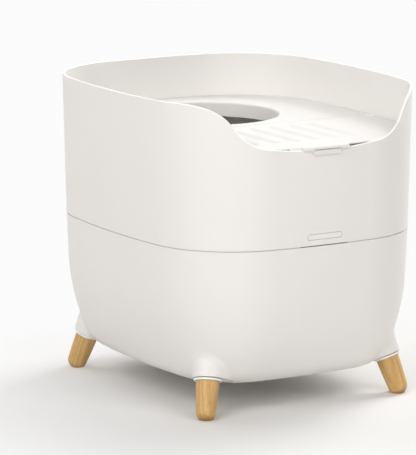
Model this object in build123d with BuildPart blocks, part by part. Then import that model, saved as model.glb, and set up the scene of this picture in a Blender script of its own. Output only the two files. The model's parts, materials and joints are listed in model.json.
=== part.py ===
from build123d import *
import os
from math import acos, asin, atan2, cos, degrees, radians, sin, sqrt, tan

# Top-entry litter box: an oval body in two halves on four splayed wooden legs.
# Millimetres. Origin on the floor under the middle of the body, +Z up, front towards -Y.
os.makedirs("parts", exist_ok=True)

# Plan outline at the rim, made of wide arcs and corner arcs
rim_width = 420.0
rim_depth = 490.0
side_radius = 1080.0
front_radius = 1005.0
corner_radius = 134.0

# Heights of the body
rim_height = 441.0
seam_height = 238.0
deck_drop = 63.0
floor_height = 43.0

# Walls of the body
wall = 3.6
shell_draft = 1.27
tub_draft = 2.35
knee_height = 173.0
lower_wall_radius = 290.0
floor_edge_radius = 32.0

# Seam: a tongue on the tub inside a thin skirt on the shell, with an open shadow line
tongue_height = 9.0
skirt = 1.7
seam_fit = 0.3
seam_gap = 1.5

# Dip in the front of the rim
dip_below_deck = 5.5
dip_half_width = 90.0
dip_sag_radius = 650.0
dip_foot_radius = 63.0
dip_shoulder_radius = 63.0
rim_round = 1.4

# Ledge inside the shell and the plates that lie on it
plate = 3.0
ledge_width = 8.0
ledge_thickness = 3.0
ledge_gusset = 6.0
lid_gap = 1.6
deck_gap = 0.4
edge_depth = 4.0
edge_thickness = 2.5
lid_roll = 4.5

# Hinge of the front lid
hinge_offset = 46.0
bead_radius = 4.0
hinge_gap = 1.0
hinge_chamfer = 2.5
hinge_boss_length = 14.0
bead_end_gap = 0.6
pin_radius = 2.0
pin_fit = 0.06
pin_in_lid = 12.0
pin_in_boss = 10.0
pin_end_room = 0.5

# Way in through the rear deck
entry_diameter = 216.0
entry_margin = 21.0
entry_collar_depth = 18.0
entry_collar_wall = 3.0
entry_round = 2.5

# Grooves across the front lid
groove_count = 6
groove_pitch = 32.0
groove_width = 18.0
groove_depth = 2.2
groove_rear_margin = 16.0
groove_front_margin = 58.0
groove_back_margin = 2.0

# Pull tab at the front of the lid and its notch in the rim
lip_width = 69.0
lip_gap = 0.6
lip_round = 3.0
tab_width = 43.0
tab_drop = 12.0
tab_thickness = 2.4
tab_gap = 0.6
tab_round = 2.0
tab_border = 1.7
recess_depth = 1.0
notch_width = 72.0
notch_depth = 1.0

# Screws of the deck
deck_screw_side = 20.0
deck_screw_end = 4.0
deck_screw_inset = 21.0
ear_radius = 7.0
ear_thickness = 4.0
ear_drop = 3.0
screw_boss_radius = 4.5
screw_radius = 1.5
screw_fit = 0.05
screw_head_radius = 3.6
screw_head_height = 2.2
screw_length = 9.0
screw_end_room = 1.0

# Latch button in the front wall
button_rise = 13.5
button_width = 56.0
button_height = 7.4
button_gap = 0.5
button_travel = 4.0
flange_gap = 0.9
flange_thickness = 2.0
flange_margin = 5.0
stem_width = 40.0
stem_length = 6.0

# Hook of the latch and the catch on the tub
arm_width = 30.0
arm_thickness = 3.0
hook_drop = 12.0
nose_reach = 3.7
nose_height = 1.5
catch_drop = 8.0
catch_thickness = 3.0
catch_clearance = 1.1
catch_gap = 0.5
catch_margin = 2.0

# Spring and housing of the latch
spring_length = 14.3
spring_radius = 3.2
spring_wire = 0.5
spring_turns = 4
spigot_radius = 2.2
spigot_length = 4.0
spring_seat_gap = 0.05
housing_wall = 2.0
housing_clearance = 3.0
housing_wall_gap = 1.4
housing_ear = 15.0
housing_ear_thickness = 3.0
housing_ear_depth = 11.0

# Legs and their sockets
leg_inset = 33.0
leg_bearing = 39.8
leg_splay = 22.0
leg_turn = 52.0
seat_rise = 11.2
socket_radius = 20.9
socket_top_radius = 24.0
socket_height = 55.0
socket_stub = 22.0
socket_blend = 16.0
socket_boss_radius = 13.0
socket_boss_height = 30.0
socket_boss_chamfer = 4.0
collar_radius = 19.7
collar_thickness = 2.9
collar_gap = 1.3
collar_land_radius = 17.8
collar_cup = 1.2
cup_clearance = 0.2
leg_top_radius = 16.4
leg_foot_radius = 14.1
leg_foot_round = 12.6
foot_trim = 3.0

# Bolts and inserts of the legs
bolt_radius = 4.0
bolt_fit = 0.05
bolt_in_leg = 28.0
bolt_in_tub = 24.0
bolt_chamfer = 0.8
bolt_end_room = 1.0
insert_radius = 6.0
insert_length = 18.0
insert_sink = 3.0

# Values worked out from the driving dimensions
half_width = rim_width / 2
half_depth = rim_depth / 2
deck_height = rim_height - deck_drop
plate_bottom = deck_height - plate
ledge_height = plate_bottom - edge_depth
hinge_y = -hinge_offset
hinge_z = deck_height - bead_radius
deck_front = hinge_y + bead_radius + hinge_gap
tongue_top = seam_height + tongue_height
button_z = seam_height + button_rise
seat_height = floor_height + seat_rise
up = Vector(0, 0, 1)

# The corner arc touches the side arc and the rear arc inside
side_centre = Vector(half_width - side_radius, 0)
rear_centre = Vector(0, half_depth - front_radius)
centre_line = rear_centre - side_centre
side_reach = side_radius - corner_radius
rear_reach = front_radius - corner_radius
centre_along = (centre_line.length**2 + side_reach**2 - rear_reach**2) / (2 * centre_line.length)
centre_across = sqrt(side_reach**2 - centre_along**2)
line_dir = centre_line.normalized()
corner_centre = side_centre + line_dir * centre_along + up.cross(line_dir) * centre_across
side_end = degrees(atan2(corner_centre.Y - side_centre.Y, corner_centre.X - side_centre.X))
rear_start = degrees(atan2(corner_centre.Y - rear_centre.Y, corner_centre.X - rear_centre.X))
corner_size = rear_start - side_end

# Arcs of the plan outline, counter-clockwise: centre, radius, start angle, arc size
plan_arcs = []
for half_turn in (0, 180):
    sign = 1 if half_turn == 0 else -1
    first_corner = Vector(sign * corner_centre.X, sign * corner_centre.Y)
    second_corner = Vector(-sign * corner_centre.X, sign * corner_centre.Y)
    plan_arcs += [
        (side_centre * sign, side_radius, half_turn - side_end, 2 * side_end),
        (first_corner, corner_radius, half_turn + side_end, corner_size),
        (rear_centre * sign, front_radius, half_turn + rear_start, 180 - 2 * rear_start),
        (second_corner, corner_radius, half_turn + 180 - rear_start, corner_size),
    ]


# Outline of the body, grown outward by an offset
def oval(offset_out):
    with BuildSketch() as outline:
        with BuildLine():
            for centre, radius, start, size in plan_arcs:
                CenterArc(centre, radius + offset_out, start, size)
        make_face()
    return outline.sketch


# The part of a grown outline that lies between two lines across the body
def oval_strip(offset_out, front, rear):
    with BuildSketch() as strip:
        add(oval(offset_out))
        with Locations((0, (front + rear) / 2)):
            Rectangle(2 * rim_width, rear - front, mode=Mode.INTERSECT)
    return strip.sketch


# Carries a wall section round the outline. A section is drawn as distance out from the rim and height
def run_round(section, mode=Mode.ADD):
    for centre, radius, start, size in plan_arcs:
        outward = Vector(1, 0, 0).rotate(Axis.Z, start)
        with BuildSketch(Plane(centre + outward * radius, x_dir=outward, z_dir=outward.cross(up))) as cut:
            make_face(section)
        revolve(cut.sketch, axis=Axis(centre, up), revolution_arc=size, mode=mode)


# Turns a profile, drawn as radius and height, about the z axis of a plane
def turn_on(base, profile, mode=Mode.ADD):
    with BuildSketch(Plane(base.origin, x_dir=base.x_dir, z_dir=-base.y_dir)) as half:
        make_face(profile)
    revolve(half.sketch, axis=Axis(base.origin, base.z_dir), mode=mode)


# Outer face of the shell at a height, as a distance out from the rim outline
def wall_out(height):
    return -(rim_height - height) * tan(radians(shell_draft))


# Upright plane at a place along Y, facing the front
def front_plane(y):
    return Plane.XZ.offset(-y)


seam_out = wall_out(seam_height)
ledge_out = wall_out(ledge_height) - wall - ledge_width
lid_out = wall_out(deck_height) - wall - lid_gap
deck_out = wall_out(deck_height) - wall - deck_gap

# Places along the front wall at the height of the button
face_y = -half_depth - wall_out(button_z)
flange_front = face_y + wall + flange_gap
flange_back = flange_front + flange_thickness
stem_back = flange_back + stem_length
arm_front = stem_back - arm_thickness
nose_tip = arm_front - nose_reach
spring_seat = stem_back + spring_length
catch_bottom = seam_height - catch_drop
hook_bottom = seam_height - hook_drop

# Housing of the latch: its inner half width and the heights of its hollow
flange_half = button_width / 2 + flange_margin
flange_half_height = button_height / 2 + flange_margin / 2
housing_half = flange_half + housing_clearance
housing_low = button_z - flange_half_height - housing_clearance
housing_high = button_z + flange_half_height + housing_clearance
housing_front = face_y + wall + housing_wall_gap
housing_screw_x = housing_half + housing_wall + housing_ear / 2
housing_ear_y = face_y + wall + housing_ear_depth

# One plane for each leg: origin on the collar's seat, x under the tub, z along the leg towards it
leg_reach = corner_radius - leg_inset
leg_x = corner_centre.X + leg_reach * cos(radians(leg_bearing))
leg_y = corner_centre.Y + leg_reach * sin(radians(leg_bearing))
splay_sin = sin(radians(leg_splay))
splay_cos = cos(radians(leg_splay))
leg_planes = {}
for row, y_sign in (("front", -1), ("rear", 1)):
    for side, x_sign in (("left", -1), ("right", 1)):
        inward = Vector(-x_sign * cos(radians(leg_turn)), -y_sign * sin(radians(leg_turn)), 0)
        seat = Vector(x_sign * leg_x, y_sign * leg_y, seat_height)
        across = inward * splay_cos - up * splay_sin
        along = inward * splay_sin + up * splay_cos
        leg_planes[f"{row}_{side}"] = Plane(seat, x_dir=across, z_dir=along)

# Places of the deck's screws, each with the bearing of the wall beside it
side_x = side_centre.X + sqrt((side_radius - deck_screw_inset) ** 2 - deck_screw_side**2)
rear_x = front_radius * cos(radians(rear_start)) - deck_screw_end
rear_y = rear_centre.Y + sqrt((front_radius - deck_screw_inset) ** 2 - rear_x**2)
deck_screw_spots = [
    (side_x, deck_screw_side, 0),
    (-side_x, deck_screw_side, 180),
    (rear_x, rear_y, 90),
    (-rear_x, rear_y, 90),
]
ear_top = ledge_height - ear_drop
ear_bottom = ear_top - ear_thickness
ear_reach = deck_screw_inset + wall_out(ear_top) - wall / 2

# Profile of the tub: a drafted wall, a wide lower curve and a tighter edge into the floor
tub_steep = radians(tub_draft)
floor_rise = knee_height - floor_height - floor_edge_radius + lower_wall_radius * sin(tub_steep)
floor_turn = degrees(asin(floor_rise / (lower_wall_radius - floor_edge_radius)))
floor_inset = lower_wall_radius * (cos(tub_steep) - cos(radians(floor_turn)))
floor_inset += floor_edge_radius * cos(radians(floor_turn))
core_out = -(corner_radius + floor_inset) / 2
tongue_in = seam_out - wall / cos(tub_steep)
tongue_out = seam_out - skirt - seam_fit


# Section of the tub with a skin taken off, closed by the given points from the core to the seam
def tub_section(skin, *closing):
    knee_out = seam_out - (seam_height - knee_height) * tan(tub_steep)
    knee = Vector(knee_out - skin * cos(tub_steep), knee_height + skin * sin(tub_steep))
    seam_point = Vector(seam_out - skin / cos(tub_steep), seam_height)
    with BuildLine() as section:
        upper = Line(seam_point, knee)
        lower = JernArc(upper @ 1, upper % 1, lower_wall_radius - skin, tub_draft - floor_turn)
        edge = JernArc(lower @ 1, lower % 1, floor_edge_radius - skin, floor_turn - 90)
        Polyline(edge @ 1, (core_out, floor_height + skin), *closing, seam_point)
    return section.edges()


tub_outside = tub_section(0, (core_out, tongue_top), (tongue_out, tongue_top), (tongue_out, seam_height))
tub_inside = tub_section(wall, (core_out, tongue_top + wall), (tongue_in, tongue_top + wall))

# Profiles of a leg socket, with a stub that the seat is cut from, and of the boss above it
with BuildLine() as socket_profile:
    Polyline(
        (0, -socket_stub),
        (socket_radius, -socket_stub),
        (socket_radius, 0),
        (socket_top_radius, socket_height),
        (0, socket_height),
        close=True,
    )
with BuildLine() as socket_boss_profile:
    Polyline(
        (0, 0),
        (socket_boss_radius, 0),
        (socket_boss_radius, socket_boss_height - socket_boss_chamfer),
        (socket_boss_radius - socket_boss_chamfer, socket_boss_height),
        (0, socket_boss_height),
        close=True,
    )

# Litter tub
with BuildPart() as tub:
    run_round(tub_outside)
    with BuildSketch(Plane.XY.offset(floor_height)):
        add(oval(core_out))
    extrude(amount=tongue_top - floor_height)
    # Leg sockets, blended into the body
    for plane in leg_planes.values():
        turn_on(plane, socket_profile.edges())
        fillet(tub.edges(Select.NEW), socket_blend)
    run_round(tub_inside, mode=Mode.SUBTRACT)
    with BuildSketch(Plane.XY.offset(floor_height + wall)):
        add(oval(core_out))
    extrude(amount=tongue_top - floor_height, mode=Mode.SUBTRACT)
    # Boss in each corner of the floor, seat for the collar, bores for the insert and the bolt
    for plane in leg_planes.values():
        turn_on(plane, socket_boss_profile.edges())
        with BuildSketch(plane):
            Circle(socket_radius + socket_blend)
        extrude(amount=-socket_stub, mode=Mode.SUBTRACT)
        with BuildSketch(plane):
            Circle(insert_radius + bolt_fit)
        extrude(amount=insert_sink + insert_length, mode=Mode.SUBTRACT)
        with BuildSketch(plane):
            Circle(bolt_radius + bolt_fit)
        extrude(amount=bolt_in_tub + bolt_end_room, mode=Mode.SUBTRACT)
    # The tongue stops beside the latch, and a catch stands on the wall below it
    with BuildSketch(Plane.XY.offset(seam_height)):
        with Locations((0, -half_depth)):
            Rectangle(2 * (housing_half + housing_wall), 2 * (housing_half + housing_wall))
    extrude(amount=tongue_height, mode=Mode.SUBTRACT)
    with BuildSketch(Plane.XY.offset(catch_bottom)):
        add(oval_strip(seam_out - wall / 2, -half_depth, arm_front - catch_clearance))
        Rectangle(arm_width + 2 * catch_margin, 2 * rim_depth, mode=Mode.INTERSECT)
    extrude(amount=catch_thickness)
tub.part.label = "litter_tub"
export_step(tub.part, "parts/litter_tub.step")


# Section of the shell, from the seam up past the rim, with the ledge inside
skirt_bottom = seam_height + seam_gap
rim_over = rim_height + wall
gusset_foot = ledge_height - ledge_thickness - ledge_gusset
with BuildLine() as shell_section:
    Polyline(
        (wall_out(skirt_bottom), skirt_bottom),
        (wall_out(rim_over), rim_over),
        (wall_out(rim_over) - wall, rim_over),
        (wall_out(ledge_height) - wall, ledge_height),
        (ledge_out, ledge_height),
        (ledge_out, ledge_height - ledge_thickness),
        (wall_out(gusset_foot) - wall, gusset_foot),
        (wall_out(tongue_top) - wall, tongue_top),
        (seam_out - skirt, tongue_top),
        (seam_out - skirt, skirt_bottom),
        close=True,
    )

# Turns of the dip's arcs, which bring the rim back to level
dip_bottom = deck_height - dip_below_deck
sag_turn = degrees(asin(dip_half_width / dip_sag_radius))
dip_rise = rim_height - dip_bottom - dip_sag_radius * (1 - cos(radians(sag_turn)))
rise_cos = (dip_foot_radius * cos(radians(sag_turn)) + dip_shoulder_radius - dip_rise)
rise_turn = degrees(acos(rise_cos / (dip_foot_radius + dip_shoulder_radius)))

# Upper shell
with BuildPart() as shell:
    run_round(shell_section.edges())
    # Level rim behind, dipped rim in front
    with BuildSketch(Plane.XY.offset(rim_height)):
        with Locations((0, rim_depth / 2)):
            Rectangle(2 * rim_width, rim_depth)
    extrude(amount=2 * wall, mode=Mode.SUBTRACT)
    with BuildSketch(Plane.XZ):
        with BuildLine():
            sag = JernArc((0, dip_bottom), (1, 0), dip_sag_radius, sag_turn)
            foot = JernArc(sag @ 1, sag % 1, dip_foot_radius, rise_turn - sag_turn)
            shoulder = JernArc(foot @ 1, foot % 1, dip_shoulder_radius, -rise_turn)
            Polyline(
                shoulder @ 1,
                (rim_width, rim_height),
                (rim_width, rim_height + 2 * wall),
                (0, rim_height + 2 * wall),
                (0, dip_bottom),
            )
        make_face()
        mirror(about=Plane.YZ)
    extrude(amount=rim_depth, mode=Mode.SUBTRACT)
    rim_edges = shell.edges().filter_by(lambda e: e.bounding_box().min.Z > dip_bottom - rim_round)
    fillet(rim_edges.filter_by(lambda e: e.length > 2 * wall), rim_round)
    # Notch for the lid's lip
    with BuildSketch(front_plane(-half_depth + corner_radius)):
        with Locations((0, dip_bottom - notch_depth)):
            Rectangle(notch_width, 2 * deck_drop, align=(Align.CENTER, Align.MIN))
    extrude(amount=corner_radius, mode=Mode.SUBTRACT)
    # Bearing bosses of the lid's hinge
    hinge_wall_x = side_centre.X + sqrt((side_radius + wall_out(hinge_z) - wall) ** 2 - hinge_y**2)
    hinge_boss_x = hinge_wall_x - hinge_boss_length
    for x_sign in (-1, 1):
        boss_plane = Plane((x_sign * hinge_boss_x, hinge_y, hinge_z), z_dir=(x_sign, 0, 0))
        with BuildSketch(boss_plane):
            Circle(bead_radius)
        extrude(amount=hinge_boss_length + wall / 2)
        with BuildSketch(boss_plane):
            Circle(pin_radius + pin_fit)
        extrude(amount=pin_in_boss + pin_end_room, mode=Mode.SUBTRACT)
    # Ears for the deck's screws
    for x, y, bearing in deck_screw_spots:
        with BuildSketch(Plane.XY.offset(ear_bottom)):
            with Locations(Location((x, y), bearing)):
                Circle(ear_radius)
                Rectangle(ear_reach, 2 * ear_radius, align=(Align.MIN, Align.CENTER))
                Circle(screw_radius + screw_fit, mode=Mode.SUBTRACT)
        extrude(amount=ear_thickness)
    # Window for the button, and bosses for the housing's screws
    with BuildSketch(front_plane(-half_depth)):
        with Locations((0, button_z)):
            SlotOverall(button_width + 2 * button_gap, button_height + 2 * button_gap)
    extrude(amount=-corner_radius, mode=Mode.SUBTRACT)
    with BuildSketch(front_plane(housing_ear_y)):
        with Locations((-housing_screw_x, button_z), (housing_screw_x, button_z)):
            Circle(screw_boss_radius)
    extrude(amount=housing_ear_depth + wall / 2)
    with BuildSketch(front_plane(housing_ear_y)):
        with Locations((-housing_screw_x, button_z), (housing_screw_x, button_z)):
            Circle(screw_radius + screw_fit)
    extrude(amount=screw_length - housing_ear_thickness + screw_end_room, mode=Mode.SUBTRACT)
shell.part.label = "upper_shell"
export_step(shell.part, "parts/upper_shell.step")

# Rear deck with the way in
entry_radius = entry_diameter / 2
entry_y = deck_front + entry_margin + entry_radius
collar_bottom = plate_bottom - entry_collar_depth
deck_screw_points = [(x, y) for x, y, bearing in deck_screw_spots]
with BuildPart() as deck:
    with BuildSketch(Plane.XY.offset(plate_bottom)):
        add(oval_strip(deck_out, deck_front, half_depth))
    extrude(amount=plate)
    chamfer(deck.faces().sort_by(Axis.Z)[-1].edges().sort_by(Axis.Y)[0], hinge_chamfer)
    # Turned-down edge that lies on the ledge, and collar round the hole
    with BuildSketch(Plane.XY.offset(ledge_height)):
        add(oval_strip(deck_out, deck_front, half_depth))
        add(oval_strip(deck_out - edge_thickness, deck_front + edge_thickness, half_depth), mode=Mode.SUBTRACT)
    extrude(amount=edge_depth)
    with BuildSketch(Plane.XY.offset(collar_bottom)):
        with Locations((0, entry_y)):
            Circle(entry_radius + entry_collar_wall)
    extrude(amount=entry_collar_depth)
    with BuildSketch(Plane.XY.offset(collar_bottom)):
        with Locations((0, entry_y)):
            Circle(entry_radius)
    extrude(amount=entry_collar_depth + plate, mode=Mode.SUBTRACT)
    fillet(deck.edges().filter_by(GeomType.CIRCLE).group_by(Axis.Z)[-1].sort_by(SortBy.RADIUS)[0], entry_round)
    # Bosses that stand on the shell's ears
    with BuildSketch(Plane.XY.offset(ear_top)):
        with Locations(*deck_screw_points):
            Circle(screw_boss_radius)
    extrude(amount=plate_bottom - ear_top)
    with BuildSketch(Plane.XY.offset(ear_top)):
        with Locations(*deck_screw_points):
            Circle(screw_radius + screw_fit)
    extrude(amount=screw_length - ear_thickness + screw_end_room, mode=Mode.SUBTRACT)
deck.part.label = "entry_deck"
export_step(deck.part, "parts/entry_deck.step")

# Front lid
bead_half = hinge_boss_x - bead_end_gap
lid_rear = hinge_y - bead_radius - hinge_gap
tab_back = -half_depth - wall_out(dip_bottom) - tab_gap
tab_front = tab_back - tab_thickness
tab_bottom = deck_height - tab_drop
lip_bottom = dip_bottom - notch_depth + lip_gap
lip_rear = -half_depth - lid_out + 2 * lid_roll
groove_radius = ((groove_width / 2) ** 2 + groove_depth**2) / (2 * groove_depth)
groove_axis_z = deck_height - groove_depth + groove_radius
groove_rear = hinge_y - groove_rear_margin
groove_back = groove_width + 2 * groove_back_margin
with BuildPart() as lid:
    with BuildSketch(Plane.XY.offset(plate_bottom)):
        add(oval_strip(lid_out, -rim_depth, lid_rear))
        with Locations((0, lid_rear)):
            Rectangle(2 * bead_half, hinge_y - lid_rear, align=(Align.CENTER, Align.MIN))
    extrude(amount=plate)
    # Turned-down edge that lies on the ledge
    with BuildSketch(Plane.XY.offset(ledge_height)):
        add(oval_strip(lid_out, -rim_depth, lid_rear))
        add(oval_strip(lid_out - edge_thickness, -rim_depth, lid_rear), mode=Mode.SUBTRACT)
    extrude(amount=edge_depth)
    # The top rolls down to the rim
    fillet(lid.faces().sort_by(Axis.Z)[-1].edges().filter_by(GeomType.CIRCLE), lid_roll)
    # Lip that rolls over the low rim
    with BuildSketch(Plane.YZ.offset(-lip_width / 2)) as lip:
        with Locations((tab_front, lip_bottom)):
            Rectangle(lip_rear - tab_front, deck_height - lip_bottom, align=(Align.MIN, Align.MIN))
        fillet(lip.vertices().sort_by(Axis.X)[:2].sort_by(Axis.Y)[-1], lip_round)
    extrude(amount=lip_width)
    # Pull tab outside the rim, with a recess for the fingers under the lip
    with BuildSketch(front_plane(tab_back)) as tab_face:
        with Locations((0, tab_bottom)):
            Rectangle(tab_width, tab_drop - lip_round, align=(Align.CENTER, Align.MIN))
        fillet(tab_face.vertices().group_by(Axis.Y)[0], tab_round)
    extrude(amount=tab_thickness)
    with BuildSketch(front_plane(tab_front + recess_depth)):
        with Locations((0, tab_bottom + tab_border)):
            Rectangle(
                tab_width - 2 * tab_border,
                tab_drop - 2 * tab_border - lip_round,
                align=(Align.CENTER, Align.MIN),
            )
    extrude(amount=recess_depth, mode=Mode.SUBTRACT)
    # Hinge bead across the rear edge, bored for the pins
    with BuildSketch(Plane((-bead_half, hinge_y, hinge_z), z_dir=(1, 0, 0))):
        Circle(bead_radius)
    extrude(amount=2 * bead_half)
    for x_sign in (-1, 1):
        with BuildSketch(Plane((x_sign * bead_half, hinge_y, hinge_z), z_dir=(-x_sign, 0, 0))):
            Circle(pin_radius + pin_fit)
        extrude(amount=pin_in_lid + pin_end_room, mode=Mode.SUBTRACT)
    # Grooves along the lid, each backed by a thicker strip below
    for groove in range(groove_count):
        groove_x = (groove - (groove_count - 1) / 2) * groove_pitch
        groove_front = -rear_centre.Y - sqrt(front_radius**2 - groove_x**2) + groove_front_margin
        with BuildSketch(Plane.XY.offset(plate_bottom - groove_depth)):
            with Locations((groove_x, (groove_front + groove_rear) / 2)):
                Rectangle(groove_back, groove_rear - groove_front + groove_back)
        extrude(amount=groove_depth)
        with BuildSketch(front_plane(groove_rear)):
            with Locations((groove_x, groove_axis_z)):
                Circle(groove_radius)
        extrude(amount=groove_rear - groove_front, mode=Mode.SUBTRACT)
        with Locations((groove_x, groove_rear, groove_axis_z), (groove_x, groove_front, groove_axis_z)):
            Sphere(groove_radius, mode=Mode.SUBTRACT)
lid.part.label = "tread_lid"
export_step(lid.part, "parts/tread_lid.step")

# Hinge pins, held in the lid and turning in the shell
pin_length = pin_in_lid + bead_end_gap + pin_in_boss
for side, x_sign in (("left", -1), ("right", 1)):
    with BuildPart() as pin:
        with BuildSketch(Plane((x_sign * (bead_half - pin_in_lid), hinge_y, hinge_z), z_dir=(x_sign, 0, 0))):
            Circle(pin_radius)
        extrude(amount=pin_length)
    pin.part.label = f"hinge_pin_{side}"
    export_step(pin.part, f"parts/hinge_pin_{side}.step")

# Latch button: a pill cut from the front wall's curve, with a flange, a stem and a hook behind it
flange_out = -half_depth - flange_front
button_low = button_z - button_height
button_high = button_z + button_height
button_sweep = 2 * degrees(button_width / front_radius)
front_centre = -rear_centre
sweep_start = Vector(0, -1, 0).rotate(Axis.Z, -button_sweep / 2)
with BuildPart() as button:
    with BuildSketch(Plane(front_centre + sweep_start * front_radius, x_dir=sweep_start, z_dir=sweep_start.cross(up))):
        with BuildLine():
            Polyline(
                (wall_out(button_low), button_low),
                (wall_out(button_high), button_high),
                (flange_out, button_high),
                (flange_out, button_low),
                close=True,
            )
        make_face()
    revolve(axis=Axis(front_centre, up), revolution_arc=button_sweep)
    with BuildSketch(front_plane(flange_back)):
        with Locations((0, button_z)):
            SlotOverall(button_width, button_height)
    extrude(amount=2 * flange_half, mode=Mode.INTERSECT)
    with BuildSketch(front_plane(flange_back)):
        with Locations((0, button_z)):
            Rectangle(2 * flange_half, 2 * flange_half_height)
    extrude(amount=flange_thickness)
    with BuildSketch(front_plane(stem_back)):
        with Locations((0, button_z)):
            Rectangle(stem_width, button_height)
    extrude(amount=stem_length)
    # Hook that reaches down behind the catch
    with BuildSketch(Plane.YZ.offset(-arm_width / 2)):
        with BuildLine():
            Polyline(
                (stem_back, button_z),
                (stem_back, hook_bottom),
                (arm_front, hook_bottom),
                (nose_tip, catch_bottom - catch_gap - nose_height),
                (nose_tip, catch_bottom - catch_gap),
                (arm_front, catch_bottom - catch_gap),
                (arm_front, button_z),
                close=True,
            )
        make_face()
    extrude(amount=arm_width)
    # Spigot inside the spring
    with BuildSketch(front_plane(stem_back)):
        with Locations((0, button_z)):
            Circle(spigot_radius)
    extrude(amount=-spigot_length)
button.part.label = "latch_button"
export_step(button.part, "parts/latch_button.step")

# Spring behind the button
spring_room = spring_length - 2 * (spring_wire + spring_seat_gap)
spring_start = (0, stem_back + spring_wire + spring_seat_gap, button_z)
with BuildPart() as spring:
    with BuildLine() as coil:
        Helix(spring_room / spring_turns, spring_room, spring_radius, spring_start, (0, 1, 0))
    with BuildSketch(Plane(coil.line @ 0, z_dir=coil.line % 0)):
        Circle(spring_wire)
    sweep(path=coil.line, is_frenet=True)
spring.part.label = "latch_spring"
export_step(spring.part, "parts/latch_spring.step")

# Housing behind the front wall: a cup over the button, open to the wall, slotted below for the hook
with BuildPart() as housing:
    with BuildSketch(front_plane(spring_seat + housing_wall)):
        with Locations((0, (housing_low + housing_high) / 2)):
            Rectangle(2 * (housing_half + housing_wall), housing_high - housing_low + 2 * housing_wall)
    extrude(amount=spring_seat + housing_wall - housing_front)
    with BuildSketch(front_plane(housing_ear_y + housing_ear_thickness)):
        with Locations((0, button_z)):
            SlotOverall(2 * (housing_screw_x + housing_ear / 2), housing_ear)
    extrude(amount=housing_ear_thickness)
    with BuildSketch(front_plane(spring_seat)):
        with Locations((0, (housing_low + housing_high) / 2)):
            Rectangle(2 * housing_half, housing_high - housing_low)
    extrude(amount=spring_seat - housing_front, mode=Mode.SUBTRACT)
    with BuildSketch(Plane.XY.offset(housing_low - housing_wall)):
        with Locations((0, housing_front)):
            Rectangle(
                arm_width + 2 * catch_margin,
                stem_back + button_travel + catch_clearance - housing_front,
                align=(Align.CENTER, Align.MIN),
            )
    extrude(amount=2 * housing_wall, mode=Mode.SUBTRACT)
    with BuildSketch(front_plane(housing_ear_y + housing_ear_thickness)):
        with Locations((-housing_screw_x, button_z), (housing_screw_x, button_z)):
            Circle(screw_radius + screw_fit)
    extrude(amount=housing_ear_thickness, mode=Mode.SUBTRACT)
housing.part.label = "latch_housing"
export_step(housing.part, "parts/latch_housing.step")


# One screw standing on a plane: its head below, its shank along the plane's z
def screw_on(plane):
    with BuildSketch(plane) as head:
        Circle(screw_head_radius)
    extrude(head.sketch, amount=-screw_head_height)
    with BuildSketch(plane) as shank:
        Circle(screw_radius)
    extrude(shank.sketch, amount=screw_length)


# Screws of the housing and of the deck
with BuildPart() as latch_screws:
    for x_sign in (-1, 1):
        screw_on(Plane((x_sign * housing_screw_x, housing_ear_y + housing_ear_thickness, button_z), z_dir=(0, -1, 0)))
latch_screws.part.label = "latch_screws"
export_step(latch_screws.part, "parts/latch_screws.step")

with BuildPart() as deck_screws:
    for x, y in deck_screw_points:
        screw_on(Plane((x, y, ear_bottom), z_dir=(0, 0, 1)))
deck_screws.part.label = "deck_screws"
export_step(deck_screws.part, "parts/deck_screws.step")

# Profile of a collar: a land on the socket, a wider ring below it, a cup for the leg and a hole for the bolt
collar_bottom_s = -collar_gap - collar_thickness
cup_top = collar_bottom_s + collar_cup
cup_radius = leg_top_radius + cup_clearance
bolt_hole = bolt_radius + bolt_fit
with BuildLine() as collar_profile:
    Polyline(
        (bolt_hole, 0),
        (collar_land_radius, 0),
        (collar_land_radius, -collar_gap),
        (collar_radius, -collar_gap),
        (collar_radius, collar_bottom_s),
        (cup_radius, collar_bottom_s),
        (cup_radius, cup_top),
        (bolt_hole, cup_top),
        close=True,
    )

# Profile of a leg: a long taper with a rounded end that the floor trims flat
foot_drop = seat_height + foot_trim - (leg_foot_radius - leg_foot_round) * splay_sin - leg_foot_round
leg_end = -(foot_drop / splay_cos + leg_foot_round)
bolt_hole_end = cup_top - bolt_in_leg - bolt_end_room
with BuildLine() as leg_profile:
    taper = Line((leg_top_radius, cup_top), (leg_foot_radius, leg_end + leg_foot_round))
    toe = JernArc(taper @ 1, (0, -1), leg_foot_round, -90)
    Polyline(
        toe @ 1,
        (0, leg_end),
        (0, bolt_hole_end),
        (bolt_hole, bolt_hole_end),
        (bolt_hole, cup_top),
        (leg_top_radius, cup_top),
    )

for corner, plane in leg_planes.items():
    with BuildPart() as collar:
        turn_on(plane, collar_profile.edges())
    collar.part.label = f"leg_collar_{corner}"
    export_step(collar.part, f"parts/leg_collar_{corner}.step")
    with BuildPart() as leg:
        turn_on(plane, leg_profile.edges())
        split(bisect_by=Plane.XY, keep=Keep.TOP)
    leg.part.label = f"leg_{corner}"
    export_step(leg.part, f"parts/leg_{corner}.step")

# Bolts from the legs into the tub, and the inserts that take them
with BuildPart() as bolts:
    for plane in leg_planes.values():
        with BuildSketch(plane.offset(cup_top - bolt_in_leg)):
            Circle(bolt_radius)
        extrude(amount=bolt_in_leg - cup_top + bolt_in_tub)
    chamfer(bolts.edges().filter_by(GeomType.CIRCLE), bolt_chamfer)
bolts.part.label = "leg_bolts"
export_step(bolts.part, "parts/leg_bolts.step")

with BuildPart() as inserts:
    for plane in leg_planes.values():
        with BuildSketch(plane.offset(insert_sink)):
            Circle(insert_radius)
            Circle(bolt_hole, mode=Mode.SUBTRACT)
        extrude(amount=insert_length)
inserts.part.label = "leg_inserts"
export_step(inserts.part, "parts/leg_inserts.step")
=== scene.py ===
import json
import math

import bmesh
import bpy
from mathutils import Matrix, Vector
from mathutils.geometry import delaunay_2d_cdt, intersect_sphere_sphere_2d


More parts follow.
